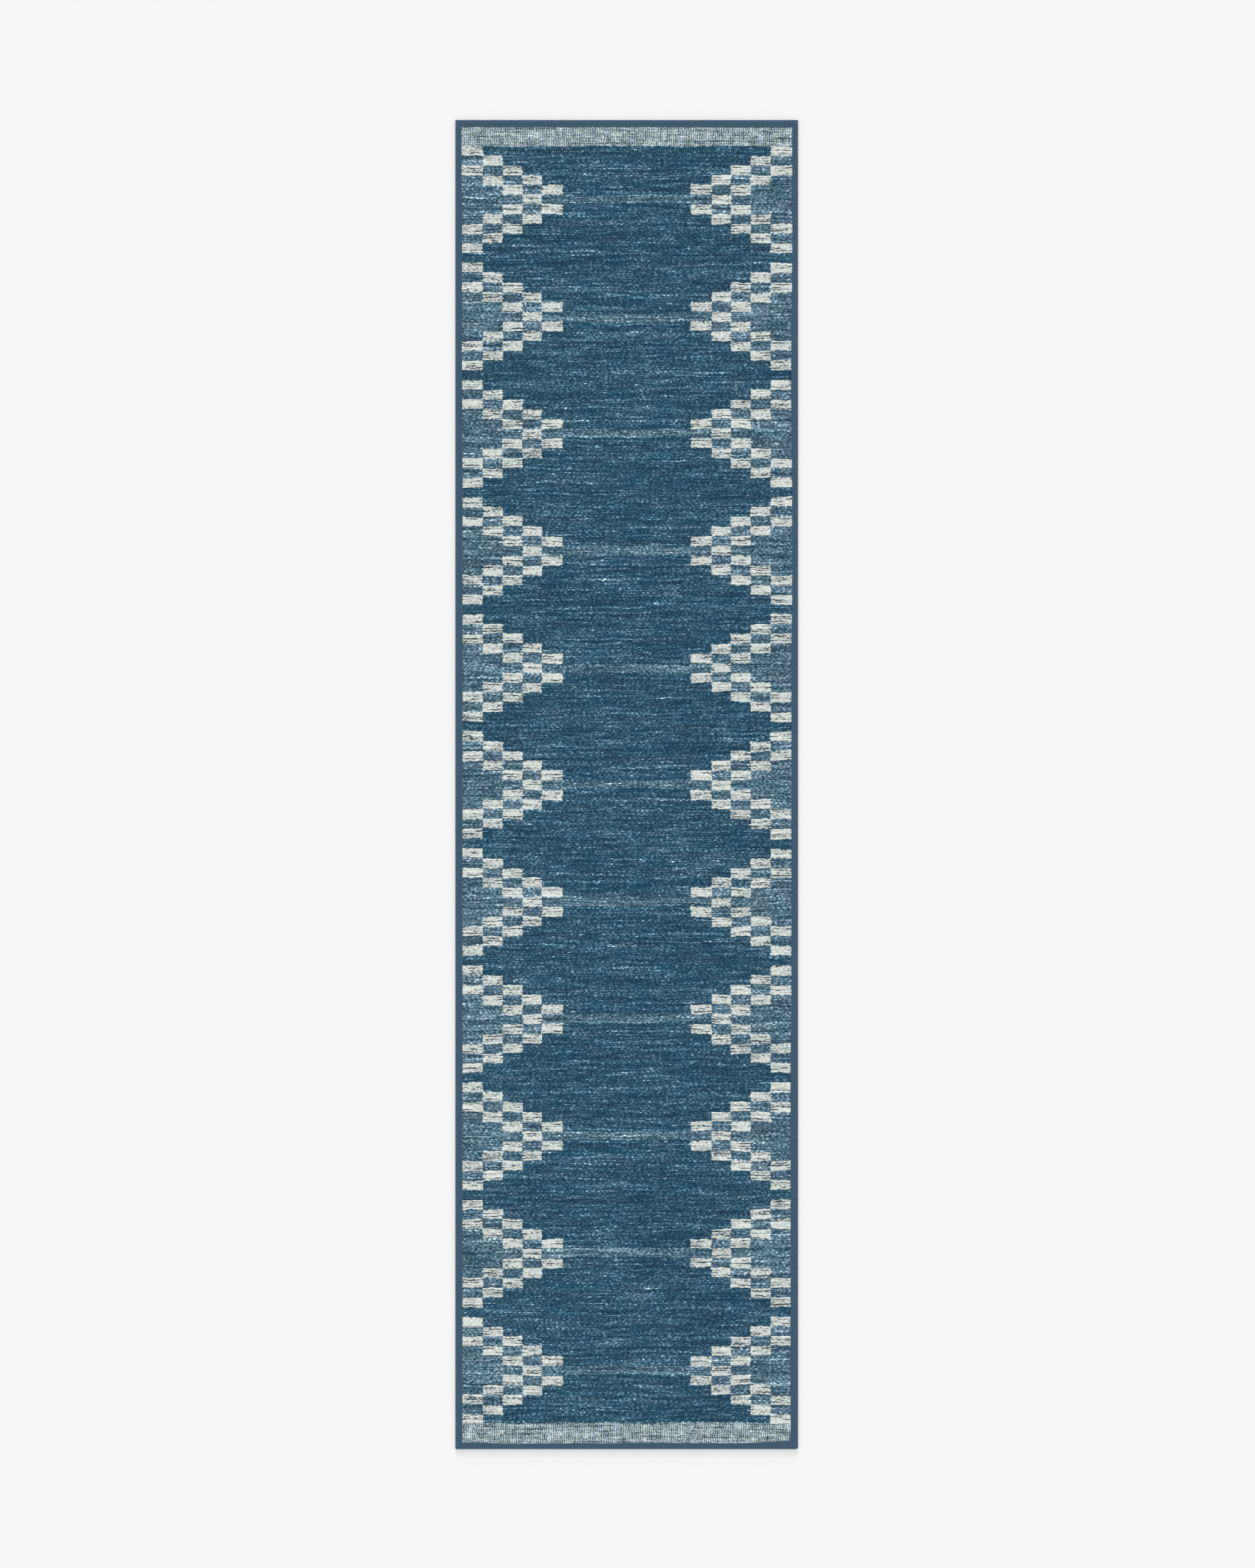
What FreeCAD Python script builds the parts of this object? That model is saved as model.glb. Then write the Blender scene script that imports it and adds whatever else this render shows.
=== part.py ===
import FreeCAD, Part
import os

# Runner rug, lying flat: a woven face glued to a felt backing, an anti-slip coat under it, and a
# plain tape sewn round all four edges. Millimetres, with +Z up, Y along the rug and X across it.
# The origin is the middle of the underside, so the rug lies on the plane z = 0.

# ---- Overall size ----------------------------------------------------------------------------
LENGTH = 3008.0
WIDTH = 775.0
CORNER_RADIUS = 2.5
WORN_CORNER_RADIUS = 5.0        # the corner at +X, -Y is rounder than the others

# ---- Layers, from the floor up ---------------------------------------------------------------
GRIP_THICK = 0.9
FELT_THICK = 1.6
BOND_THICK = 0.4
FACE_THICK = 2.7
FACE_PRESSED_THICK = 1.85       # where the tape squeezes the weave flat

# ---- Binding tape ----------------------------------------------------------------------------
TAPE_THICK = 0.75
TAPE_LIFT = 0.15                # the coat holds the tape this far off the floor
TAPE_FOLD_RADIUS = 1.5          # outside of the fold round the edge
TAPE_UNDER = 12.0               # how far the tape reaches in over the underside
TAPE_OVER_TOP = 16.5            # how far it reaches in over the face, at the +Y end
TAPE_OVER_LEFT = (13.0, 16.0)   # at the +Y end, and from the knee to the -Y end
TAPE_OVER_RIGHT = (13.0, 17.0)
TAPE_OVER_BOTTOM = 13.3         # along the middle of the -Y end
TAPE_OVER_BOTTOM_CORNERS = (15.0, 18.3)
LEFT_KNEE = 800.0               # how far from the +Y end each side's tape reaches its full width
RIGHT_KNEE = 2100.0
BOTTOM_KNEES = (75.0, 90.0)     # how far from the -Y corners its tape turns

# ---- Seams and label -------------------------------------------------------------------------
SEAM_INSET = 10.0               # seam line to outer edge
SEAM_END_GAP = 1.0              # each seam stops this far from the mitre
THREAD_WIDTH = 0.6
THREAD_SUNK = 0.2
THREAD_PROUD = 0.1
LABEL_WIDTH = 40.0
LABEL_THICK = 0.25
LABEL_X = -230.0
LABEL_CAUGHT = 5.0              # label's caught end to the rug's outer edge
LABEL_LENGTH = 60.0
LABEL_GAP = 1.0                 # bare felt round the label, where the coat stops

# ---- Worked out from the above ---------------------------------------------------------------
HALF_W = WIDTH / 2
HALF_L = LENGTH / 2
FELT_Z = GRIP_THICK
BOND_Z = FELT_Z + FELT_THICK
FACE_Z = BOND_Z + BOND_THICK
TOP_Z = FACE_Z + FACE_THICK
PRESSED_Z = FACE_Z + FACE_PRESSED_THICK
TAPE_TOP_Z = PRESSED_Z + TAPE_THICK
SPARE = 5.0                     # how far a cutting solid runs past what it cuts
MITRE_DEPTH = 60.0              # more than any tape's reach

os.makedirs("parts", exist_ok=True)


def box(low, high):
    """An upright box between two opposite corners."""
    size = [b - a for a, b in zip(low, high)]
    return Part.makeBox(*size, FreeCAD.Vector(*low))


def prism(outline, low_z, high_z):
    """A prism with the given plan outline, between two heights."""
    points = [FreeCAD.Vector(x, y, low_z) for x, y in outline]
    plate = Part.Face(Part.makePolygon(points + points[:1]))
    return plate.extrude(FreeCAD.Vector(0, 0, high_z - low_z))


def is_upright(edge):
    return edge.BoundBox.ZLength > max(edge.BoundBox.XLength, edge.BoundBox.YLength)


def at_worn_corner(edge):
    middle = edge.BoundBox.Center
    return middle.x > 0 and middle.y < 0


def rug_slab(inset, low_z, high_z, fold_radius):
    """The rug's outline drawn in by inset, as a slab with rounded corners and rounded edges."""
    x = HALF_W - inset
    y = HALF_L - inset
    slab = box((-x, -y, low_z), (x, y, high_z))
    uprights = [edge for edge in slab.Edges if is_upright(edge)]
    sharp = [edge for edge in uprights if not at_worn_corner(edge)]
    slab = slab.makeFillet(CORNER_RADIUS - inset, sharp)
    worn = [edge for edge in slab.Edges if is_upright(edge) and at_worn_corner(edge)]
    slab = slab.makeFillet(WORN_CORNER_RADIUS - inset, worn)
    rims = [edge for edge in slab.Edges if edge.BoundBox.ZLength < 0.01]
    return slab.makeFillet(fold_radius, rims)


def face_window():
    """Plan outline of the face that shows between the four tapes."""
    top_y = HALF_L - TAPE_OVER_TOP
    bottom_y = TAPE_OVER_BOTTOM - HALF_L
    left_x = [reach - HALF_W for reach in TAPE_OVER_LEFT]
    right_x = [HALF_W - reach for reach in TAPE_OVER_RIGHT]
    corner_y = [reach - HALF_L for reach in TAPE_OVER_BOTTOM_CORNERS]
    return [(left_x[0], top_y),
            (left_x[1], HALF_L - LEFT_KNEE),
            (left_x[1], corner_y[0]),
            (BOTTOM_KNEES[0] - HALF_W, bottom_y),
            (HALF_W - BOTTOM_KNEES[1], bottom_y),
            (right_x[1], corner_y[1]),
            (right_x[1], HALF_L - RIGHT_KNEE),
            (right_x[0], top_y)]


def under_window(low_z, high_z):
    """The part of the underside that the tape leaves bare, as a box."""
    x = HALF_W - TAPE_UNDER
    y = HALF_L - TAPE_UNDER
    return box((-x, -y, low_z), (x, y, high_z))


def mitre_wedge(side):
    """The part of the plan that belongs to one side, cut off at 45 degrees at both corners."""
    x = HALF_W + SPARE
    y = HALF_L + SPARE
    depth = MITRE_DEPTH
    outlines = {
        "left": [(-x, -y), (depth - x, depth - y), (depth - x, y - depth), (-x, y)],
        "right": [(x, -y), (x, y), (x - depth, y - depth), (x - depth, depth - y)],
        "top_end": [(-x, y), (depth - x, y - depth), (x - depth, y - depth), (x, y)],
        "bottom_end": [(-x, -y), (x, -y), (x - depth, depth - y), (depth - x, depth - y)],
    }
    return prism(outlines[side], -SPARE, TOP_Z + SPARE)


def seam_thread(side, low_z):
    """One slim straight bar that stands for a row of stitches along one side."""
    half = THREAD_WIDTH / 2
    high_z = low_z + THREAD_SUNK + THREAD_PROUD
    seam_x = HALF_W - SEAM_INSET
    seam_y = HALF_L - SEAM_INSET
    run_x = seam_x - SEAM_END_GAP
    run_y = seam_y - SEAM_END_GAP
    spans = {
        "left": ((-seam_x - half, -run_y), (-seam_x + half, run_y)),
        "right": ((seam_x - half, -run_y), (seam_x + half, run_y)),
        "top_end": ((-run_x, seam_y - half), (run_x, seam_y + half)),
        "bottom_end": ((-run_x, -seam_y - half), (run_x, -seam_y + half)),
    }
    low, high = spans[side]
    return box((*low, low_z), (*high, high_z))


def label_box(gap, low_z):
    """The care label's plan, grown by gap on every side, from low_z up to the felt."""
    x = LABEL_WIDTH / 2 + gap
    low_y = LABEL_CAUGHT - HALF_L - gap
    high_y = LABEL_CAUGHT - HALF_L + LABEL_LENGTH + gap
    return box((LABEL_X - x, low_y, low_z), (LABEL_X + x, high_y, FELT_Z))


def layer(stack, low_z, high_z):
    """The slice of the cloth stack between two heights."""
    reach = (HALF_W + SPARE, HALF_L + SPARE)
    return stack.common(box((-reach[0], -reach[1], low_z), (*reach, high_z)))


def save(node, shape):
    """Writes one node, which is one closed solid."""
    if len(shape.Solids) != 1 or not shape.isValid():
        raise ValueError(f"{node} is not one valid solid")
    shape.Solids[0].exportStep(f"parts/{node}.step")
    print(f"{node:24s} {shape.Volume / 1000:10.2f} cm3")


# ---- Cloth layers ----------------------------------------------------------------------------
stack = rug_slab(TAPE_THICK, FELT_Z, PRESSED_Z, TAPE_FOLD_RADIUS - TAPE_THICK)
raised = prism(face_window(), PRESSED_Z, TOP_Z)

save("backing_cloth", layer(stack, FELT_Z, BOND_Z))
save("bonding_coat", layer(stack, BOND_Z, FACE_Z))
save("face_cloth", layer(stack, FACE_Z, PRESSED_Z).fuse(raised).removeSplitter())
care_label = label_box(0, FELT_Z - LABEL_THICK)
save("care_label", care_label)
save("grip_coat", under_window(0, FELT_Z).cut(label_box(LABEL_GAP, -SPARE)))

# ---- Binding tapes and their seams -----------------------------------------------------------
tape_ring = rug_slab(0, TAPE_LIFT, TAPE_TOP_Z, TAPE_FOLD_RADIUS).cut(stack)
tape_ring = tape_ring.cut(prism(face_window(), PRESSED_Z, TOP_Z + SPARE))
tape_ring = tape_ring.cut(under_window(-SPARE, FELT_Z)).cut(care_label)

for side in ("left", "right", "top_end", "bottom_end"):
    needle = seam_thread(side, TAPE_TOP_Z - THREAD_SUNK)
    bobbin = seam_thread(side, TAPE_LIFT - THREAD_PROUD)
    tape = tape_ring.common(mitre_wedge(side)).cut(needle).cut(bobbin)
    save(f"binding_{side}", tape)
    save(f"needle_thread_{side}", needle)
    save(f"bobbin_thread_{side}", bobbin)
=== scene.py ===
import math

import bpy
import numpy as np
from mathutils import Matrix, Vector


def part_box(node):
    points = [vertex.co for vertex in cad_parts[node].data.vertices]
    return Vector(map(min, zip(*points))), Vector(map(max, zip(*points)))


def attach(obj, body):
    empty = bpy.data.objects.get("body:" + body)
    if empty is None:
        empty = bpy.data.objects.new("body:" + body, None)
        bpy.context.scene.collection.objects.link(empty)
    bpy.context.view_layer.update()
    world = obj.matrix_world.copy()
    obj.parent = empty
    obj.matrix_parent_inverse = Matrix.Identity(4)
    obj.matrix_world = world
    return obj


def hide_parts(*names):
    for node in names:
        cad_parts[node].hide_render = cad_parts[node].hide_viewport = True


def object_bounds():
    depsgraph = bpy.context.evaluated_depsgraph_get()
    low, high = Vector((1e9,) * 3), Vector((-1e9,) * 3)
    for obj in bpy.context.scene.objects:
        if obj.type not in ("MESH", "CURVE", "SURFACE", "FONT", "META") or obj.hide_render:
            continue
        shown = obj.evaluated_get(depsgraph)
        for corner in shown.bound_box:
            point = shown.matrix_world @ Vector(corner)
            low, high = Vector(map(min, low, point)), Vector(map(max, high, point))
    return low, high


# The looks of the runner rug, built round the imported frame. Metres, in the frame's axes: +Y runs
# up the rug, +X across it and +Z out of the face.

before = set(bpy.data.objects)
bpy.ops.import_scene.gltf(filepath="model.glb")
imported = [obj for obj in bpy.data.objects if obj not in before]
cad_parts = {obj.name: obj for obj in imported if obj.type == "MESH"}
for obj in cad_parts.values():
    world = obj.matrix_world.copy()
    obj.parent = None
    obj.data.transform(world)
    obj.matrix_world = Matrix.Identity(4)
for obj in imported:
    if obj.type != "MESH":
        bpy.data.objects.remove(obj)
CAD_LOW, CAD_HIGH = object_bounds()

# ---- Sizes read from the frame ---------------------------------------------------------------
HALF_W = CAD_HIGH.x
HALF_L = CAD_HIGH.y
FACE_LOW_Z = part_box("face_cloth")[0].z
FACE_TOP_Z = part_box("face_cloth")[1].z
TAPE_LOW_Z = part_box("binding_left")[0].z
TAPE_TOP_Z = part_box("binding_left")[1].z
COAT_TOP_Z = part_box("grip_coat")[1].z
TAPE_UNDER = HALF_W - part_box("grip_coat")[1].x          # the tape's reach in over the underside
SEAM_INSET = HALF_W - sum(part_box("needle_thread_right")[i].x for i in (0, 1)) / 2

# ---- Weave -----------------------------------------------------------------------------------
ROWS = 131                          # rows of the pattern, each one cell high
ROWS_PER_REPEAT = 12
WEFTS_PER_ROW = 4
TIP_ROW = 5                         # the row of a repeat, from 0, that its motifs point along
STRANDS_PER_ROW = 2 * WEFTS_PER_ROW
STRANDS_PER_REPEAT = STRANDS_PER_ROW * ROWS_PER_REPEAT
TIP_STRAND = STRANDS_PER_ROW * (TIP_ROW + 0.5)
BAND_STRANDS = 7                    # in the lighter band between the motifs' tips
ROW = 0.02208
WEFT = ROW / WEFTS_PER_ROW
WEFTS = ROWS * WEFTS_PER_ROW - 0.5  # the last weft is half under the end stripe
STRIPE_TOP = 0.0588                 # outer edge to the field's first row, at +Y
FIELD_TOP = HALF_L - STRIPE_TOP
BEAD = 0.0111                       # from one light bead to the next along a weft
PLY = 0.0019                        # along a strand, from one ply to the next
LINK = 0.0033                       # along a rib of an end stripe, from one link to the next
PICK_PAIR = 2 * LINK
RIB = 0.00494                       # pitch of the warp ribs that show in the end stripes
COLUMN_EDGES = (0.1447, 0.1921, 0.2356, 0.2805, 0.3255)  # motif columns, from the centre line
FACE_INSET = 0.005                  # the cloth's own edge, hidden in the tape
CREST_Z = FACE_TOP_Z + 0.0001
PRESSED_RISE = (-0.0008, 0.0035)    # in from the tape's lip, where the pressed cloth rises again
WEFT_RELIEF = 0.00055               # crest to valley
WEFT_SAMPLES = 4                    # lines of mesh points to a weft
KNOB = 0.00006                      # uneven spots along a weft
BEAD_RELIEF = 0.0001                # a weft's rise over every other rib
RIB_RELIEF = 0.0007
CENTRE_RIB = 80                     # row of RIB_STRAYS for the rib on the centre line
RIB_STRAY_STEP = 0.0036             # along a rib, from one stray to the next
SWELL = 0.0075                      # along a rib, from one swelling to the next
SWELL_RELIEF = 0.0001
TOOTH = 0.0012                      # how far each rib of an end stripe ends over the field
TUCK = 0.05                         # wefts that a block of cloth reaches in under its neighbour
TUCK_DEPTH = 0.0004
STRIPE_PLACES = 26                  # lines of mesh points from a stripe's outer edge to the field
STRIPE_TUCK = 1.008                 # how far it goes on under the field, as a share of its depth
FINE_BAND = 0.020                   # beside the outer edges, where the mesh is finer
FINE_PLACES = 14

# ---- Binding tape: its reach over the face, at places measured from the +Y or -X end ----------
REACH = {
    "left": ((0.0, 0.0128), (0.2, 0.0150), (0.5, 0.0145), (0.8, 0.0163), (3.0, 0.0160)),
    "right": ((0.3, 0.0130), (0.5, 0.0153), (0.65, 0.0153), (0.8, 0.0132), (1.1, 0.0132),
              (1.2, 0.0149), (2.05, 0.0150), (2.12, 0.0169)),
    "top_end": ((0.0, 0.0165), (0.775, 0.0165)),
    "bottom_end": ((0.055, 0.0153), (0.085, 0.0125), (0.36, 0.0132), (0.38, 0.0150), (0.48, 0.0149),
                   (0.51, 0.0136), (0.66, 0.0136), (0.76, 0.0190)),
}
SIDES = tuple(REACH)
CORNERS = {                         # at each side's two ends: the tape across, and how far along it
    "left": (("bottom_end", 0.0), ("top_end", 0.0)),
    "right": (("top_end", 2 * HALF_W), ("bottom_end", 2 * HALF_W)),
    "top_end": (("left", 0.0), ("right", 0.0)),
    "bottom_end": (("right", 2 * HALF_L), ("left", 2 * HALF_L)),
}
TAPE_THICK = 0.00075
PRESSED_Z = TAPE_TOP_Z - TAPE_THICK  # the cloth's height where the tape squeezes it
FOLD_SHADE = 0.0017                 # the outermost strip of the fold, painted a little darker as shade
FOLD_DEPTH = 0.003                  # the tape's round fold, in from the outer edge
INNER_FOLD_DEPTH = FOLD_DEPTH - 0.0006
CORNER = 0.0013                     # radius of the outer corners
WORN_CORNER = 0.0045                # the one at +X, -Y
CORNER_RUN = 0.010                  # how far from a corner the tape's mesh is finer
CORNER_PLACES = 12
TAPE_COLOUR = (64, 88, 109)         # as seen, of 255
TWILL = 5200                        # its slanting lines, in radians to the metre

# ---- Seams -----------------------------------------------------------------------------------
STITCH = 0.005
STITCH_SHOWS = 0.92                 # the share of a stitch that shows between its two holes
SEAM_END_GAP = 0.001
SEAM_GROOVE = (0.00005, 0.00012)    # how far the seam pulls the tape in, less and more by turns
THREAD_RADIUS = 0.00028
THREAD_SIDES = 6
THREAD_RISE = 0.00016               # a stitch's arch over the tape
THREAD_DIVE = 0.00045               # and its dive into each hole
NEEDLE_SUNK = 0.0002                # the threads' middle lines, inside the tape's outer faces
BOBBIN_SUNK = 0.0003

# ---- Underside -------------------------------------------------------------------------------
LABEL_LOW, LABEL_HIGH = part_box("care_label")
LABEL_GAP = 0.001                   # bare felt round the label
LABEL_CURL = 0.0004                 # how far its free corners come away from the felt
LABEL_STEP = 0.003
FILM_THICK = 0.0005                 # the grip coat between its dots
DOT_PITCH = 0.020
DOT_RADIUS = 0.003
DOT_SIDES = 8
DOT_ROOT = 0.0001                   # how far a dot reaches up into the film
DOT_SHOULDER = 0.75                 # a dot's shoulder, as a share of its radius,
DOT_BULGE = 0.7                     # and of its height
DOT_MARGIN = 0.006                  # from a dot's centre to the nearest edge of the coat
UNEVEN = 0.00005                    # how far a layer's surface sinks here and there
LAYER_STEP = 0.03

# ---- Floor and light -------------------------------------------------------------------------
FLOOR_REACH = 30.0                  # from its middle to its edges
FLOOR_SEEN = 247                    # the floor's brightness, of 255
GAMMA = 2.2                         # brightness in a picture file, to this power, is light
SKY = (FLOOR_SEEN / 255) ** GAMMA   # even light from all round, as bright as the floor looks
SUN = 0.124                         # low light from the +Y end, as it reaches the floor
SUN_HEIGHT = math.radians(14)
SUN_WIDTH = math.radians(16)
LIGHT = SKY + SUN

# ---- Camera ----------------------------------------------------------------------------------
LENS = 0.100
SENSOR = 0.036                      # along the picture's long side
SEEN_HEIGHT = 3.548                 # of the picture, at the rug
SEEN_MIDDLE = (0.0018, 0.0013)      # the picture's middle, on the rug


# ==== Meshes ==================================================================================

def add_piece(name, points, faces, material, stands_for, smooth=True, weave=None):
    """Makes a mesh object that rides on the rug and stands for CAD nodes."""
    mesh = bpy.data.meshes.new(name)
    mesh.from_pydata(points.tolist(), [], faces)
    mesh.validate()
    mesh.polygons.foreach_set("use_smooth", np.full(len(mesh.polygons), smooth))
    if weave is not None:
        thread_map = mesh.uv_layers.new(name="weave")
        corner = np.empty(len(mesh.loops), int)
        mesh.loops.foreach_get("vertex_index", corner)
        thread_map.data.foreach_set("uv", weave[corner].astype(np.float32).ravel())
    piece = bpy.data.objects.new(name, mesh)
    bpy.context.scene.collection.objects.link(piece)
    piece.data.materials.append(material)
    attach(piece, "root")
    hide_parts(*stands_for)
    return piece


def grid_faces(rows, columns):
    """Quads of a grid whose points are numbered row by row."""
    first = (np.arange(rows - 1)[:, None] * columns + np.arange(columns - 1)).ravel()
    return np.stack([first, first + 1, first + columns + 1, first + columns], 1)


def rim(rows, columns):
    """Point numbers round the edge of a grid, in order."""
    last = rows * columns - 1
    near = list(range(columns))
    right = list(range(2 * columns - 1, last + 1, columns))
    far = list(range(last - 1, last - columns, -1))
    left = list(range(last - 2 * columns + 1, 0, -columns))
    return near + right + far + left


def reach(side, along):
    """How far in from the outer edge a side's tape covers the face."""
    places, reaches = zip(*REACH[side])
    ripple = 0.00015 * np.sin(97 * along) + 0.00012 * np.sin(211 * along + 2)
    return np.interp(along, places, reaches) + ripple


def inside_tape(x, y):
    """Distance in from the nearest tape's inner edge; negative under the tape."""
    return np.minimum.reduce([
        x + HALF_W - reach("left", HALF_L - y),
        HALF_W - x - reach("right", HALF_L - y),
        HALF_L - y - reach("top_end", x + HALF_W),
        y + HALF_L - reach("bottom_end", x + HALF_W),
    ])


def smooth_step(low, high, value):
    t = np.clip((value - low) / (high - low), 0, 1)
    return t * t * (3 - 2 * t)


def stray_grid(seed, threads, places, spread):
    """Random strays for threads at even places along them, kept short of a crossing."""
    strays = np.random.default_rng(seed).normal(0, spread, (threads, places))
    return np.clip(strays, -2 * spread, 2 * spread)


def stray(grid, thread, place):
    """A thread's stray at a place along it; both may lie between the grid's own."""
    line = np.clip(np.floor(thread).astype(int), 0, grid.shape[0] - 2)
    knot = np.clip(np.floor(place).astype(int), 0, grid.shape[1] - 2)
    s = thread - line
    t = place - knot
    t = t * t * (3 - 2 * t)
    near = grid[line, knot] * (1 - t) + grid[line, knot + 1] * t
    far = grid[line + 1, knot] * (1 - t) + grid[line + 1, knot + 1] * t
    return near * (1 - s) + far * s


WEFT_STRAYS = stray_grid(seed=3, threads=ROWS * WEFTS_PER_ROW + 2, places=110, spread=0.14)
RIB_STRAYS = stray_grid(seed=5, threads=2 * CENTRE_RIB + 10, places=900, spread=0.22)


def weft_y(x, weft):
    """Where the line between two wefts runs, or a place between two such lines."""
    sway = 0.16 * np.sin(21 * x + 0.11 * weft) + 0.12 * np.sin(47 * x - 0.23 * weft + 1.3)
    place = (x + HALF_W) / (2 * HALF_W) * (WEFT_STRAYS.shape[1] - 1)
    return FIELD_TOP - WEFT * (weft + sway + stray(WEFT_STRAYS, weft, place))


def columns_at(step):
    """Places across the cloth: every step, and finer beside the tapes."""
    coarse = np.arange(0, HALF_W - FINE_BAND - 0.001, step)
    fine = np.linspace(HALF_W - FINE_BAND, HALF_W - FACE_INSET, FINE_PLACES)
    right = np.concatenate([coarse, fine])
    return np.concatenate([-right[:0:-1], right])


def cloth_block(name, x, y, crest, weave, material):
    """A closed block of the face cloth with a relief on top, pressed down along the tapes."""
    rows, columns = x.shape
    lift = smooth_step(*PRESSED_RISE, inside_tape(x, y))
    z = PRESSED_Z + lift * (crest - PRESSED_Z)
    top = np.stack([x, y, z], -1).reshape(-1, 3)
    edge = rim(rows, columns)
    under = top[edge]
    under[:, 2] = FACE_LOW_Z
    below = list(range(len(top), len(top) + len(edge)))
    faces = grid_faces(rows, columns).tolist()
    top_count = len(faces)
    for i in range(len(edge)):
        j = (i + 1) % len(edge)
        faces.append((edge[j], edge[i], below[i], below[j]))
    faces.append(tuple(reversed(below)))
    flat_uv = weave.reshape(-1, 2)
    piece = add_piece(name, np.concatenate([top, under]), faces, material,
                      ["face_cloth"], weave=np.concatenate([flat_uv, flat_uv[edge]]))
    smooth = np.arange(len(piece.data.polygons)) < top_count
    piece.data.polygons.foreach_set("use_smooth", smooth)


def woven_repeat(number, first_weft, last_weft, material):
    """One repeat of the pattern: raised wefts across the rug, knobbly along their length."""
    lines = int((last_weft - first_weft) * WEFT_SAMPLES) + 1
    weft = np.linspace(first_weft, last_weft, lines)
    weft = np.concatenate([[first_weft - TUCK], weft, [last_weft + TUCK]])
    x, v = np.meshgrid(columns_at(RIB / 2), weft)
    knob = np.random.default_rng(number).normal(0, 1, x.shape)
    bulge = np.abs(np.sin(np.pi * v)) ** 0.8
    bead = np.cos(np.pi * (x / RIB + np.floor(v)))
    crest = CREST_Z - WEFT_RELIEF * (1 - bulge) + bulge * (KNOB * knob + BEAD_RELIEF * bead)
    crest[[0, -1]] -= TUCK_DEPTH
    weave = np.stack([x, v], -1)
    cloth_block(f"face_repeat_{number:02d}", x, weft_y(x, v), crest, weave, material)


def rib_at(x, y):
    """Which warp rib runs through a place; whole numbers are crests, and 0 is by the centre line."""
    return x / RIB + stray(RIB_STRAYS, x / RIB + CENTRE_RIB, (y + HALF_L) / RIB_STRAY_STEP)


def end_stripe(name, edge_y, weft, material):
    """The stripe that closes the weave at one end, where the warp ribs show."""
    across = columns_at(RIB / 6)
    inner_y = weft_y(across, np.full(across.shape, weft))
    tooth = TOOTH * (0.5 + 0.5 * np.cos(2 * np.pi * rib_at(across, inner_y)))
    inner_y = inner_y + np.sign(inner_y - edge_y) * tooth
    share = np.append(np.linspace(0, 1, STRIPE_PLACES), STRIPE_TUCK)
    x, share = np.meshgrid(across, share)
    y = edge_y + share * (inner_y[None, :] - edge_y)
    rib = rib_at(x, y)
    ridge = 0.5 + 0.5 * np.cos(2 * np.pi * rib)
    swelling = np.sin(2 * np.pi * (y / SWELL + 0.37 * np.round(rib)))
    crest = CREST_Z - RIB_RELIEF * (1 - ridge) + SWELL_RELIEF * ridge * swelling
    crest[-1] -= TUCK_DEPTH
    if y[0, 0] < y[-1, 0]:
        x, y, rib, crest = x[::-1], y[::-1], rib[::-1], crest[::-1]
    cloth_block(name, x, y, crest, np.stack([rib, y], -1), material)


def corner_rounded(points):
    """Rounds the rug's outer corners in plan; the one at +X, -Y is the roundest."""
    x, y = points[:, 0], points[:, 1]
    radius = np.where((x > 0) & (y < 0), WORN_CORNER, CORNER)
    dx = np.abs(x) - (HALF_W - radius)
    dy = np.abs(y) - (HALF_L - radius)
    near = (dx > 0) & (dy > 0)
    length = np.hypot(dx, dy)
    length[length == 0] = 1
    pull = np.where(near, np.maximum(dx, dy) / length, 1)
    out = points.copy()
    out[:, 0] = np.where(near, np.sign(x) * (HALF_W - radius + dx * pull), x)
    out[:, 1] = np.where(near, np.sign(y) * (HALF_L - radius + dy * pull), y)
    return out


def side_point(side, along, inset, z):
    """A point given by how far it is along a side, from its middle, and in from the outer edge."""
    if side == "left":
        return np.stack([inset - HALF_W, along, z], -1)
    if side == "right":
        return np.stack([HALF_W - inset, -along, z], -1)
    if side == "top_end":
        return np.stack([along, HALF_L - inset, z], -1)
    return np.stack([-along, inset - HALF_L, z], -1)


def side_half(side):
    return HALF_L if side in ("left", "right") else HALF_W


def side_reach(side, along):
    """The tape's reach over the face at a place given from the middle of its side."""
    start = {"left": HALF_L - along, "right": HALF_L + along,
             "top_end": HALF_W + along, "bottom_end": HALF_W - along}[side]
    return reach(side, start)


def stations(half):
    """Places along a side, from corner to corner: two to a stitch, and finer at the corners."""
    ends = np.linspace(0, CORNER_RUN, CORNER_PLACES)
    middle = np.arange(0, half - CORNER_RUN - 0.0005, STITCH / 2)
    middle = np.concatenate([-middle[:0:-1], middle])
    return np.concatenate([ends - half, middle, half - ends[::-1]])


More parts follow.
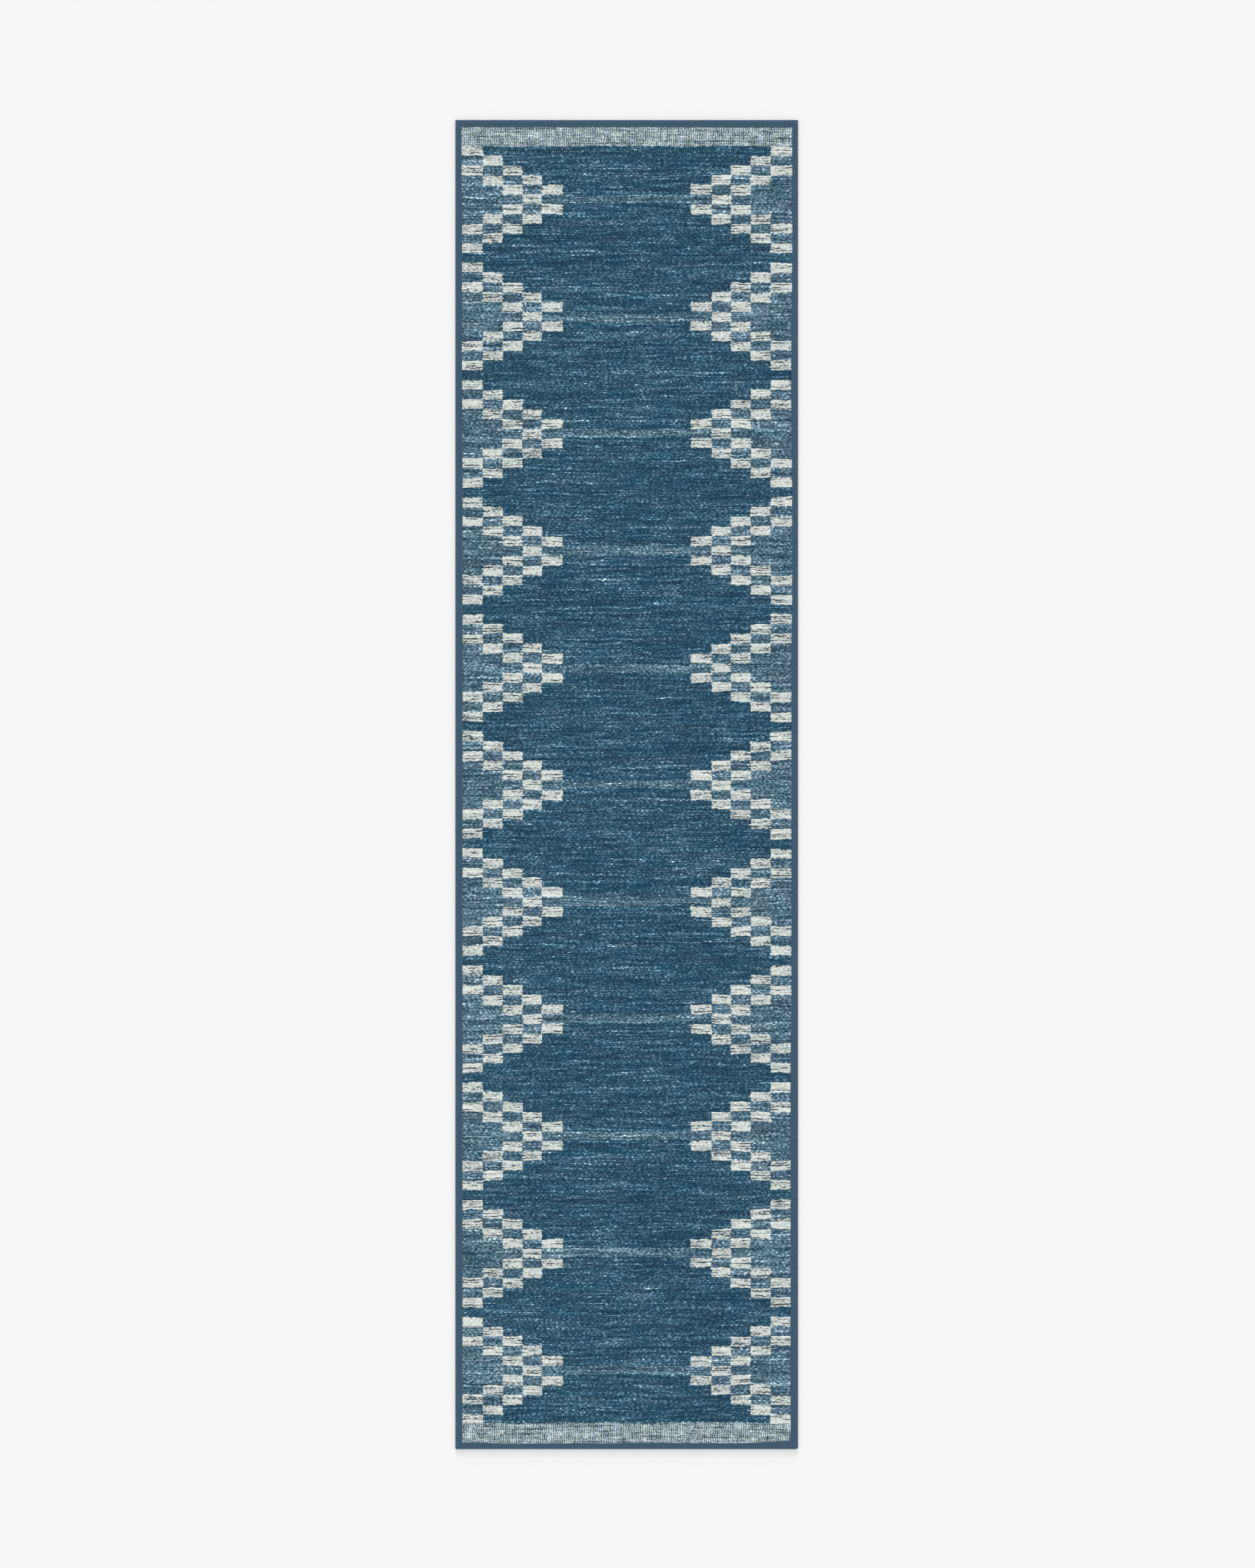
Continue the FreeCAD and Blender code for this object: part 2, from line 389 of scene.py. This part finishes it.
def tape_profile(span, dip):
    """Insets and heights round the tape's section, starting at its lip on the face."""
    middle_z = (TAPE_TOP_Z + TAPE_LOW_Z) / 2
    fold = (TAPE_TOP_Z - TAPE_LOW_Z) / 2
    turn = np.linspace(0.5 * np.pi, -0.5 * np.pi, 9)
    outer_x = FOLD_DEPTH * (1 - np.cos(turn))
    outer_z = middle_z + fold * np.sin(turn)
    inner_x = TAPE_THICK + INNER_FOLD_DEPTH * (1 - np.cos(turn[::-1]))
    inner_z = middle_z + (fold - TAPE_THICK) * np.sin(turn[::-1])
    lip = [(span, PRESSED_Z), (span, TAPE_TOP_Z - 0.0003), (span - 0.0002, TAPE_TOP_Z - 0.0001),
           (span - 0.0006, TAPE_TOP_Z)]
    seam = [(SEAM_INSET + 0.0011, TAPE_TOP_Z - 0.2 * dip), (SEAM_INSET + 0.0004, TAPE_TOP_Z - dip),
            (SEAM_INSET - 0.0004, TAPE_TOP_Z - dip), (SEAM_INSET - 0.0012, TAPE_TOP_Z - 0.2 * dip)]
    crown = [(0.0062, TAPE_TOP_Z + 0.00015), (0.0045, TAPE_TOP_Z + 0.00012)]
    under = [(0.0062, TAPE_LOW_Z), (SEAM_INSET, TAPE_LOW_Z + 0.5 * dip),
             (TAPE_UNDER - 0.0004, TAPE_LOW_Z), (TAPE_UNDER, TAPE_LOW_Z + 0.0002),
             (TAPE_UNDER, COAT_TOP_Z)]
    return lip + seam + crown + list(zip(outer_x, outer_z)) + under + list(zip(inner_x, inner_z))


def binding(side, material):
    """One length of tape, folded round a side's edge and mitred at both corners."""
    half = side_half(side)
    places = stations(half)
    rings = []
    for i, place in enumerate(places):
        section = np.array(tape_profile(float(side_reach(side, place)), SEAM_GROOVE[i % 2]))
        mitre = np.minimum(section[:, 0], reach(*CORNERS[side][int(place > 0)]))
        along = place * (1 - mitre / half)
        rings.append(side_point(side, along, section[:, 0], section[:, 1]))
    count = len(rings[0])
    points = corner_rounded(np.concatenate(rings))
    faces = []
    for i in range(len(rings) - 1):
        for j in range(count):
            k = (j + 1) % count
            faces.append((i * count + j, i * count + k, (i + 1) * count + k, (i + 1) * count + j))
    faces.append(tuple(range(count - 1, -1, -1)))
    faces.append(tuple(range((len(rings) - 1) * count, len(rings) * count)))
    piece = add_piece(f"binding_tape_{side}", points, faces, material,
                      [f"binding_{side}"])
    width = float(np.mean(side_reach(side, places))) + TAPE_UNDER + (TAPE_TOP_Z - TAPE_LOW_Z)
    2 * half


def stitch_row(thread, side, z, up, material):
    """A row of stitches: short arched lengths of thread, each from one needle hole to the next."""
    run = side_half(side) - SEAM_INSET - SEAM_END_GAP
    count = int(2 * run / STITCH)
    start = -count * STITCH / 2
    share = (0, 0.12, 0.35, 0.65, 0.88, 1)
    arch = (-THREAD_DIVE, 0, THREAD_RISE, THREAD_RISE, 0, -THREAD_DIVE)
    turn = np.linspace(0, 2 * np.pi, THREAD_SIDES, endpoint=False)
    points = []
    faces = []
    for n in range(count):
        first = len(points) * len(turn)
        for s, rise in zip(share, arch):
            along = start + (n + 0.5 + STITCH_SHOWS * (s - 0.5)) * STITCH
            inset = SEAM_INSET + THREAD_RADIUS * np.cos(turn)
            height = z + up * rise + THREAD_RADIUS * np.sin(turn)
            points.append(side_point(side, np.full(len(turn), along), inset, height))
        for ring in range(len(share) - 1):
            for j in range(len(turn)):
                k = (j + 1) % len(turn)
                a = first + ring * len(turn)
                faces.append((a + j, a + k, a + len(turn) + k, a + len(turn) + j))
        faces.append(tuple(first + j for j in reversed(range(len(turn)))))
        last = first + (len(share) - 1) * len(turn)
        faces.append(tuple(last + j for j in range(len(turn))))
    add_piece(f"{thread}_stitches_{side}", np.concatenate(points), faces, material,
              [f"{thread}_thread_{side}"])


def spaced(low, high, step, extra=()):
    """Places from low to high, at most about step apart, with the extra ones among them."""
    places = np.linspace(low, high, int((high - low) / step) + 2)
    inside = [value for value in extra if low < value < high]
    return np.unique(np.concatenate([places, inside]))


def slab(x, y, low_z, high_z, keep):
    """Points and faces of a closed layer on a grid; keep says which of the grid's cells it has."""
    rows, columns = x.shape
    count = rows * columns
    points = np.concatenate([np.stack([x, y, z], -1).reshape(-1, 3) for z in (high_z, low_z)])
    top = grid_faces(rows, columns)[keep.ravel()]
    faces = top.tolist() + (top[:, ::-1] + count).tolist()
    edges = {(quad[i], quad[(i + 1) % 4]) for quad in top.tolist() for i in range(4)}
    for a, b in edges:
        if (b, a) not in edges:
            faces.append((b, a, a + count, b + count))
    used, numbers = np.unique(np.array(faces).ravel(), return_inverse=True)
    return points[used], numbers.reshape(-1, 4).tolist()


def layer(name, node, material):
    """A whole layer inside the rug, with a slightly uneven surface above and below."""
    low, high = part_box(node)
    end_x = high.x - FOLD_DEPTH
    end_y = high.y - FOLD_DEPTH
    x, y = np.meshgrid(spaced(-end_x, end_x, LAYER_STEP), spaced(-end_y, end_y, LAYER_STEP))
    wave = UNEVEN * (0.5 + 0.5 * np.sin(41 * x + 3 * np.sin(17 * y)))
    whole = np.ones((x.shape[0] - 1, x.shape[1] - 1), bool)
    points, faces = slab(x, y, low.z + wave, high.z - wave, whole)
    piece = add_piece(name, points, faces, material, [node], smooth=False)


def in_label_window(x, y, margin):
    """True where the grip coat leaves room for the label."""
    beside = LABEL_GAP + margin
    return (x > LABEL_LOW.x - beside) & (x < LABEL_HIGH.x + beside) & (y < LABEL_HIGH.y + beside)


def dot(x, y, film_z):
    """Points and faces of one domed dot under the grip film."""
    turn = np.linspace(0, 2 * np.pi, DOT_SIDES, endpoint=False)
    points = []
    for share, z in ((1.0, film_z + DOT_ROOT), (DOT_SHOULDER, (1 - DOT_BULGE) * film_z)):
        radius = share * DOT_RADIUS
        ring = [x + radius * np.cos(turn), y + radius * np.sin(turn), np.full(DOT_SIDES, z)]
        points.append(np.stack(ring, -1))
    points.append(np.array([[x, y, 0.0]]))
    tip = 2 * DOT_SIDES
    faces = [tuple(range(DOT_SIDES))]
    for i in range(DOT_SIDES):
        j = (i + 1) % DOT_SIDES
        faces.append((j, i, i + DOT_SIDES, j + DOT_SIDES))
        faces.append((j + DOT_SIDES, i + DOT_SIDES, tip))
    return np.concatenate(points), faces


def grip_coat(material):
    """The anti-slip coat: a thin film with staggered rows of dots, cut away round the label."""
    low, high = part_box("grip_coat")
    film_z = high.z - FILM_THICK
    across = spaced(low.x, high.x, LAYER_STEP, (LABEL_LOW.x - LABEL_GAP, LABEL_HIGH.x + LABEL_GAP))
    along = spaced(low.y, high.y, LAYER_STEP, (LABEL_HIGH.y + LABEL_GAP,))
    x, y = np.meshgrid(across, along)
    middle_x, middle_y = np.meshgrid((across[1:] + across[:-1]) / 2, (along[1:] + along[:-1]) / 2)
    points, faces = slab(x, y, np.full(x.shape, film_z), np.full(x.shape, high.z),
                         ~in_label_window(middle_x, middle_y, 0))
    parts = [points]
    count = len(points)
    dots_across = int((high.x - low.x - 2 * DOT_MARGIN) / DOT_PITCH)
    dots_along = int((high.y - low.y - 2 * DOT_MARGIN) / DOT_PITCH)
    for j in range(dots_along + 1):
        stagger = 0.25 if j % 2 else -0.25
        for i in range(dots_across + 1):
            dot_x = (i - dots_across / 2 + stagger) * DOT_PITCH
            dot_y = (j - dots_along / 2) * DOT_PITCH
            if in_label_window(dot_x, dot_y, DOT_MARGIN):
                continue
            dot_points, dot_faces = dot(dot_x, dot_y, film_z)
            parts.append(dot_points)
            faces += [tuple(k + count for k in face) for face in dot_faces]
            count += len(dot_points)
    piece = add_piece("grip_coat_dots", np.concatenate(parts), faces, material,
                      ["grip_coat"], smooth=False)


def label(material):
    """The blank care label: thin satin caught under the tape, its free corners curling a little."""
    low, high = LABEL_LOW, LABEL_HIGH
    x, y = np.meshgrid(spaced(low.x, high.x, LABEL_STEP), spaced(low.y, high.y, LABEL_STEP))
    side = (x - (low.x + high.x) / 2) / ((high.x - low.x) / 2)              # -1 to 1 across it
    free = smooth_step(0.45, 1.0, (y - low.y) / (high.y - low.y))           # 1 at its free end
    drop = LABEL_CURL * free * (0.3 + 0.7 * side * side) + 0.00003 * free * np.sin(900 * x)
    whole = np.ones((x.shape[0] - 1, x.shape[1] - 1), bool)
    points, faces = slab(x, y, low.z - drop, high.z - drop, whole)
    piece = add_piece("blank_care_label", points, faces, material, ["care_label"])


# ==== Materials ===============================================================================

class Number:
    """A shader value that can be added, multiplied and so on."""

    def __init__(self, graph, socket):
        self.graph = graph
        self.socket = socket

    def __add__(self, other):
        return self.graph.calc("ADD", self, other)

    def __sub__(self, other):
        return self.graph.calc("SUBTRACT", self, other)

    def __mul__(self, other):
        return self.graph.calc("MULTIPLY", self, other)

    def __truediv__(self, other):
        return self.graph.calc("DIVIDE", self, other)

    def __abs__(self):
        return self.graph.calc("ABSOLUTE", self)

    def floor(self):
        return self.graph.calc("FLOOR", self)

    def over(self, other):
        return self.graph.calc("GREATER_THAN", self, other)

    def under(self, other):
        return self.graph.calc("LESS_THAN", self, other)


class Graph:
    """A material's node tree, with short names for the nodes used here."""

    def __init__(self, name, roughness, sheen=0.0):
        self.material = bpy.data.materials.new(name)
        self.material.use_nodes = True
        self.tree = self.material.node_tree
        self.shader = next(n for n in self.tree.nodes if n.type == "BSDF_PRINCIPLED")
        self.shader.inputs["Roughness"].default_value = roughness
        self.shader.inputs["Specular IOR Level"].default_value = 0.2
        self.shader.inputs["Sheen Weight"].default_value = sheen

    def add(self, kind, **settings):
        node = self.tree.nodes.new(kind)
        for name, value in settings.items():
            setattr(node, name, value)
        return node

    def put(self, socket, value):
        if isinstance(value, Number):
            self.tree.links.new(value.socket, socket)
        else:
            socket.default_value = value

    def calc(self, operation, *values):
        node = self.add("ShaderNodeMath", operation=operation)
        for socket, value in zip(node.inputs, values):
            self.put(socket, value)
        return Number(self, node.outputs[0])

    def join(self, x, y, z=0.0):
        node = self.add("ShaderNodeCombineXYZ")
        for socket, value in zip(node.inputs, (x, y, z)):
            self.put(socket, value)
        return Number(self, node.outputs[0])

    def split(self, vector):
        node = self.add("ShaderNodeSeparateXYZ")
        self.put(node.inputs[0], vector)
        return [Number(self, socket) for socket in node.outputs]

    def weave(self):
        """The thread coordinates stored on the mesh."""
        node = self.add("ShaderNodeUVMap", uv_map="weave")
        return self.split(Number(self, node.outputs[0]))[:2]

    def place(self):
        """The point's place in the rug's own frame, in metres."""
        node = self.add("ShaderNodeTexCoord")
        return self.split(Number(self, node.outputs["Object"]))

    def noise(self, x, y, z=0.0, detail=0.0):
        """Smooth noise about 0, with a spread of about 1."""
        node = self.add("ShaderNodeTexNoise", noise_dimensions="3D")
        self.put(node.inputs["Vector"], self.join(x, y, z))
        node.inputs["Scale"].default_value = 1.0
        node.inputs["Detail"].default_value = detail
        return (Number(self, node.outputs[0]) - 0.5) * 7.0

    def random(self, number):
        """A fixed random value from 0 to 1 for each whole number."""
        node = self.add("ShaderNodeTexWhiteNoise", noise_dimensions="1D")
        self.put(node.inputs["W"], number)
        return Number(self, node.outputs[0])

    def blend(self, share, a, b):
        """a where share is 0 and b where it is 1; both are triples."""
        node = self.add("ShaderNodeMix", data_type="VECTOR")
        self.put(node.inputs["Factor"], share)
        first, second = [s for s in node.inputs if s.type == "VECTOR" and s.name in ("A", "B")]
        self.put(first, a)
        self.put(second, b)
        return Number(self, next(s for s in node.outputs if s.type == "VECTOR"))

    def paint(self, tint, level):
        """Colours the shader: tint is what each channel adds to the grey level, all of 255.

        A level is what the picture shows, so the light that falls on the rug is divided out.
        """
        grey = self.join(level, level, level)
        total = self.add("ShaderNodeVectorMath", operation="ADD")
        self.put(total.inputs[0], grey)
        self.put(total.inputs[1], tint)
        scaled = self.add("ShaderNodeVectorMath", operation="SCALE")
        self.tree.links.new(total.outputs[0], scaled.inputs[0])
        scaled.inputs["Scale"].default_value = (1 / 255) * LIGHT ** (-1 / GAMMA)
        limited = self.add("ShaderNodeVectorMath", operation="MAXIMUM")
        self.tree.links.new(scaled.outputs[0], limited.inputs[0])
        gamma = self.add("ShaderNodeGamma")
        self.tree.links.new(limited.outputs[0], gamma.inputs["Color"])
        gamma.inputs["Gamma"].default_value = GAMMA
        self.tree.links.new(gamma.outputs[0], self.shader.inputs["Base Color"])

    def bump(self, height, distance):
        """height, about 1 at most, raised by distance in metres."""
        node = self.add("ShaderNodeBump")
        self.put(node.inputs["Height"], height)
        node.inputs["Distance"].default_value = distance
        self.tree.links.new(node.outputs[0], self.shader.inputs["Normal"])


def face_material():
    """The patterned weave. u is metres across from the centre line, v is wefts down the field."""
    g = Graph("woven_face", 0.9, sheen=0.05)
    u, v = g.weave()
    weft = v.floor()
    phase = v - weft
    own = g.random(weft)

    # Which cell of the pattern this is: rows run down the rug, columns in from each side. A
    # cell's edges are a little frayed, and each weft turns back a bit sooner or later.
    frayed = v + g.noise(u * 210, v * 0.9, detail=1.0) * 0.08
    row = (frayed / WEFTS_PER_ROW).floor()
    step = row - (row / ROWS_PER_REPEAT).floor() * ROWS_PER_REPEAT
    side = abs(u) + (own - 0.5) * 0.0025
    column = None
    for edge in COLUMN_EDGES:
        past = side.over(edge)
        column = past if column is None else column + past
    column = (column * -1) + len(COLUMN_EDGES)      # 0 at the tape, 5 between the two motifs

    # Counted in cells from a motif's middle at the tape, white lies 3 and 5 out, denim within 5.
    reach_in = abs(step - TIP_ROW) + column
    in_motif = column.under(4.5)
    white = abs(abs(reach_in - 4) - 1).under(0.5) * in_motif
    denim = reach_in.under(5.5) * in_motif

    # Each weft is two strands laid side by side, and each has its own light and dark flecks.
    path = v * 2 + g.noise(u * 95, weft * 3.1) * 0.16
    strand = path.floor()
    across = path - strand
    own_strand = g.random(strand) * 91

    # A lighter band joins the motifs' tips, a strand higher in some repeats than in others.
    repeat = (strand / STRANDS_PER_REPEAT).floor()
    from_tips = strand - repeat * STRANDS_PER_REPEAT - TIP_STRAND + g.random(repeat).over(0.5)
    band = abs(from_tips).under(BAND_STRANDS / 2) * column.over(4.5)

    core = g.calc("MINIMUM", (abs(across - 0.5) * -3.0) + 1.9, 1.0)
    bead_drift = g.noise(u * 40 + own * 57.0, weft * 2.3)
    bead = g.calc("COSINE", (u / BEAD + weft * 0.5) * math.tau + bead_drift)
    fleck = g.noise(u * 150 + own_strand, strand * 3.7 + across * 0.5)
    grain = g.noise(u * 290 + own_strand, strand * 2.9)
    streak = g.noise(u * 20 + own_strand, strand * 5.3)
    long_streak = g.noise(u * 4 + own_strand, strand * 7.1)
    dashes = g.calc("MAXIMUM", g.noise(u * 6 + own_strand, strand * 6.3) - 1.3, 0.0)
    pair = g.noise(u * 16, v * 1.7)
    patch = g.noise(u * 9, v * 0.09)
    fine = core * (fleck * 0.9 + grain * 0.55 + bead * 0.58)
    slow = streak * 0.5 + long_streak * 0.6 + pair * 0.33 + patch * 0.08 + dashes * 1.3 - 0.25

    # Painted shade: dark lines between the light wefts, here and there.
    gap_near = abs(abs(phase - 0.5) - 0.5)
    line = g.calc("MAXIMUM", (gap_near * -3.4) + 1.0, 0.0)
    line = line * g.calc("MAXIMUM", g.noise(u * 36, (v + 0.5).floor() * 4.7) + 0.05, 0.0)

    # A level is a + b * exp(c * thread): the triples hold a, b and c.
    levels = g.blend(denim, (33, 49, 0.37), (-7, 118, 0.232))
    levels = g.blend(band, levels, (-19, 133, 0.205))
    levels = g.blend(white, levels, (239, -36, -0.66))
    a, b, c = g.split(levels)
    # In white cells, the lines between the wefts take painted shade.
    fine = fine * (white * -0.27 + 1.0) + white * 0.33 - line * white * 3.2
    thread = g.calc("SMOOTH_MAX", fine + slow, -2.4, 0.8)
    level = a + b * g.calc("EXPONENT", c * thread)

    # The tint drifts between slate and teal.
    teal = g.noise(u * 18, v * 0.2 + 70.0) * 0.2 + 0.5
    deep = g.blend(teal, (-27.5, 3.2, 24.5), (-38.5, 7.8, 30.5))
    lighter = g.blend(teal, (-23, 3, 20.5), (-31, 6, 25))
    tint = g.blend(denim, deep, lighter)
    tint = g.blend(band, tint, (-27.5, 4.5, 24))
    cream = g.calc("SMOOTH_MIN", (level - 110) / 95, 1.0, 0.3)
    tint = g.blend(white, tint, g.blend(cream, (-12, 3, 10), (-2, 4, -2.5)))

    # Plies of the yarn with painted light and shade along them, its fibres, and painted shade in the
    # crease beside each strand: seen from close by only.
    lean = across * 0.9 + g.noise(u * 90 + own_strand, strand) * 0.12
    ply = g.calc("SINE", (u / PLY + lean) * math.tau)
    fibre = g.noise(u * 700 + own_strand, v * 26 + u * 300, detail=2.0)
    shaded_crease = g.calc("MAXIMUM", abs(across - 0.5) * 2 - 0.7, 0.0)
    close_tone_and_shade = ply * 0.08 + fibre * 0.07 - shaded_crease * (white * -0.7 + 1.5) + 0.085
    g.paint(tint, level + close_tone_and_shade * level)
    g.bump(ply * 0.5 + fibre * 0.2 + bead * 0.3 - shaded_crease * 4.0, 0.00025)
    return g.material


def stripe_material():
    """The end stripes. u counts warp ribs across the rug, v is metres along it."""
    g = Graph("woven_stripe", 0.9, sheen=0.05)
    u, v = g.weave()
    rib = (u + 0.5).floor()
    own = g.random(rib)
    off = u - rib
    groove_shade = g.calc("MINIMUM", abs(off) * 2.4, 1.0)
    link = g.noise(v * 290 + own * 40, rib * 3.3 + off * 0.8)
    pick = g.noise(u * 0.13, v * 330)
    beat = g.calc("SINE", (v / PICK_PAIR + g.noise(u * 0.09, v * 25) * 0.12) * math.tau)
    dash = g.calc("MAXIMUM", g.noise(u * 0.035, v * 280) * -1 - 0.75, 0.0)
    slub = g.noise(u * 0.55, v * 310 + 33.0)
    patch = g.noise(u * 0.3, v * 50)
    yarn_tone = link * 11 + slub * 18 + pick * 13 + beat * 7 + patch * 13 + (own - 0.5) * 14 - dash * 62
    # Painted shade darkens the grooves between the ribs.
    level = g.calc("SMOOTH_MAX", yarn_tone - groove_shade * groove_shade * 96 + 203, 66.0, 24.0)

    # Painted shade in the creases between the links of a rib, painted light and shade along its twist,
    # and its fibres: seen from close by only.
    along = v / LINK + own + abs(off) * 0.7
    shaded_crease = g.calc("MAXIMUM", abs(along - along.floor() - 0.5) * 2 - 0.7, 0.0)
    twist = g.calc("SINE", (v / PLY + off * 1.6 + own) * math.tau)
    fibre = g.noise(u * 5 + v * 150, v * 800, detail=2.0)
    close_tone_and_shade = twist * 0.05 + fibre * 0.06 - shaded_crease * 0.9 + 0.04
    warm = g.noise(u * 0.3, v * 120 + 50.0) * 0.26 + level * 0.0025 + 0.1
    g.paint(g.blend(warm, (-17.5, 2.2, 15.3), (-8.3, 4.2, 4.1)), level + close_tone_and_shade * level)
    g.bump(link * 0.1 + twist * 0.3 + fibre * 0.2 - shaded_crease * 3.0, 0.0003)
    return g.material


def tape_material():
    """Plain twill tape: one colour, with a fine slanting weave."""
    g = Graph("binding_tape", 0.82, sheen=0.08)
    x, y, z = g.place()
    twill = g.calc("SINE", (x + y + z) * TWILL)
    cross = g.calc("SINE", (x - y) * TWILL)
    cloud = g.noise(x * 120, y * 120, z * 120)
    grey = sum(TAPE_COLOUR) / 3
    # Painted shade: the outermost strip of the fold is painted a little darker.
    past_fold = g.calc("MAXIMUM", abs(x) - (HALF_W - FOLD_SHADE), abs(y) - (HALF_L - FOLD_SHADE))
    level = cloud * 0.9 + twill * 1.2 + grey - past_fold.over(0) * 6
    g.paint(tuple(channel - grey for channel in TAPE_COLOUR), level)
    g.bump(twill * 0.35 + cross * 0.15 + cloud * 0.1, 0.00012)
    return g.material


def thread_material():
    """Twisted sewing thread in the tape's colour."""
    g = Graph("seam_thread", 0.6)
    x, y, z = g.place()
    twist = g.calc("SINE", (x + y + z * 2) * 9000)
    g.paint((-22, 0, 22), twist * 3 + 88)
    g.bump(twist, 0.00006)
    return g.material


def felt_material():
    """Needled felt: short fibres of mixed greys, lying both ways."""
    g = Graph("backing_felt", 0.95, sheen=0.1)
    x, y, z = g.place()
    lying = g.noise(x * 220, y * 1700, z * 1700)
    crossing = g.noise(x * 1700, y * 220, z * 1700 + 9.0)
    fibre = g.calc("MAXIMUM", lying, crossing)
    cloud = g.noise(x * 70, y * 70, z * 70, detail=2.0)
    g.paint((3, 1, -4), fibre * 11 + cloud * 5 + 145)
    g.bump(fibre * 0.4, 0.0003)
    return g.material


def latex_material():
    """Cured bonding latex: cream, drawn out in faint lines by the spreading blade."""
    g = Graph("latex_bond", 0.5)
    x, y, z = g.place()
    drawn = g.noise(x * 420, y * 14, z)
    bubble = g.noise(x * 900, y * 900, z * 900)
    g.paint((12, 4, -16), drawn * 5 + bubble * 2 + 196)
    g.bump(drawn * 0.3 + bubble * 0.2, 0.0001)
    return g.material


def rubber_material():
    """Grip rubber: matt grey, faintly mottled, with a fine pitted skin."""
    g = Graph("grip_rubber", 0.68)
    x, y, z = g.place()
    mottle = g.noise(x * 35, y * 35, z * 35, detail=3.0)
    skin = g.noise(x * 1400, y * 1400, z * 1400, detail=1.0)
    dust = g.noise(x * 320, y * 320, z * 320, detail=2.0)
    on_dot = z.under(COAT_TOP_Z - FILM_THICK - 0.00003)
    g.paint((2, 1, -3), mottle * 4 + skin * 3 + dust * 2 + 128 - on_dot * 18)
    g.bump(skin * 0.4 + dust * 0.3, 0.0001)
    return g.material


def satin_material():
    """Woven label satin: smooth floats along the label, with a finer line across."""
    g = Graph("label_satin", 0.42, sheen=0.15)
    x, y, z = g.place()
    floats = g.calc("SINE", x * 9000 + g.noise(x * 60, y * 300) * 0.4)
    picks = g.calc("SINE", y * 14000)
    slub = g.noise(x * 1200, y * 90)
    g.paint((2, 1, -3), floats * 3 + picks * 1.5 + slub * 1.5 + 226)
    g.bump(floats * 0.4 + picks * 0.2, 0.00005)
    return g.material


# ==== The rug =================================================================================

WOVEN = face_material()
STRIPE = stripe_material()
TAPE = tape_material()
THREAD = thread_material()

wefts_per_repeat = ROWS_PER_REPEAT * WEFTS_PER_ROW
for number, first in enumerate(range(0, int(WEFTS), wefts_per_repeat), start=1):
    woven_repeat(number, first, min(first + wefts_per_repeat, WEFTS), WOVEN)
end_stripe("face_stripe_top", HALF_L - FACE_INSET, 0, STRIPE)
end_stripe("face_stripe_bottom", FACE_INSET - HALF_L, WEFTS, STRIPE)

for side in SIDES:
    binding(side, TAPE)
    stitch_row("needle", side, TAPE_TOP_Z - NEEDLE_SUNK, 1, THREAD)
    stitch_row("bobbin", side, TAPE_LOW_Z + BOBBIN_SUNK, -1, THREAD)

layer("felt_backing", "backing_cloth", felt_material())
layer("bonding_film", "bonding_coat", latex_material())
grip_coat(rubber_material())
label(satin_material())


# ==== Floor, light and camera =================================================================

floor_mesh = bpy.data.meshes.new("floor")
floor_corners = [(x * FLOOR_REACH, y * FLOOR_REACH, 0) for x, y in ((-1, -1), (1, -1), (1, 1), (-1, 1))]
floor_mesh.from_pydata(floor_corners, [], [(0, 1, 2, 3)])
floor = bpy.data.objects.new("floor", floor_mesh)
bpy.context.scene.collection.objects.link(floor)
floor_material = bpy.data.materials.new("floor")
floor_material.use_nodes = True
floor_shader = next(n for n in floor_material.node_tree.nodes if n.type == "BSDF_PRINCIPLED")
floor_shader.inputs["Base Color"].default_value = (*[SKY / LIGHT] * 3, 1)
floor_shader.inputs["Roughness"].default_value = 1.0
floor_shader.inputs["Specular IOR Level"].default_value = 0.0
floor.data.materials.append(floor_material)

world = bpy.data.worlds.new("studio")
world.use_nodes = True
world.node_tree.nodes["Background"].inputs["Color"].default_value = (1, 1, 1, 1)
world.node_tree.nodes["Background"].inputs["Strength"].default_value = SKY
bpy.context.scene.world = world

sun = bpy.data.lights.new("window_light", "SUN")
sun.energy = SUN * math.pi / math.sin(SUN_HEIGHT)
sun.angle = SUN_WIDTH
sun_object = bpy.data.objects.new("window_light", sun)
sun_object.rotation_euler = (SUN_HEIGHT - math.pi / 2, 0, 0)
bpy.context.scene.collection.objects.link(sun_object)

camera = bpy.data.cameras.new("camera")
camera.lens = LENS * 1000
camera.sensor_width = SENSOR * 1000
camera.clip_end = 100
camera_object = bpy.data.objects.new("camera", camera)
camera_object.location = (*SEEN_MIDDLE, FACE_TOP_Z + SEEN_HEIGHT * LENS / SENSOR)
bpy.context.scene.collection.objects.link(camera_object)
bpy.context.scene.camera = camera_object
bpy.context.scene.view_settings.view_transform = "Standard"
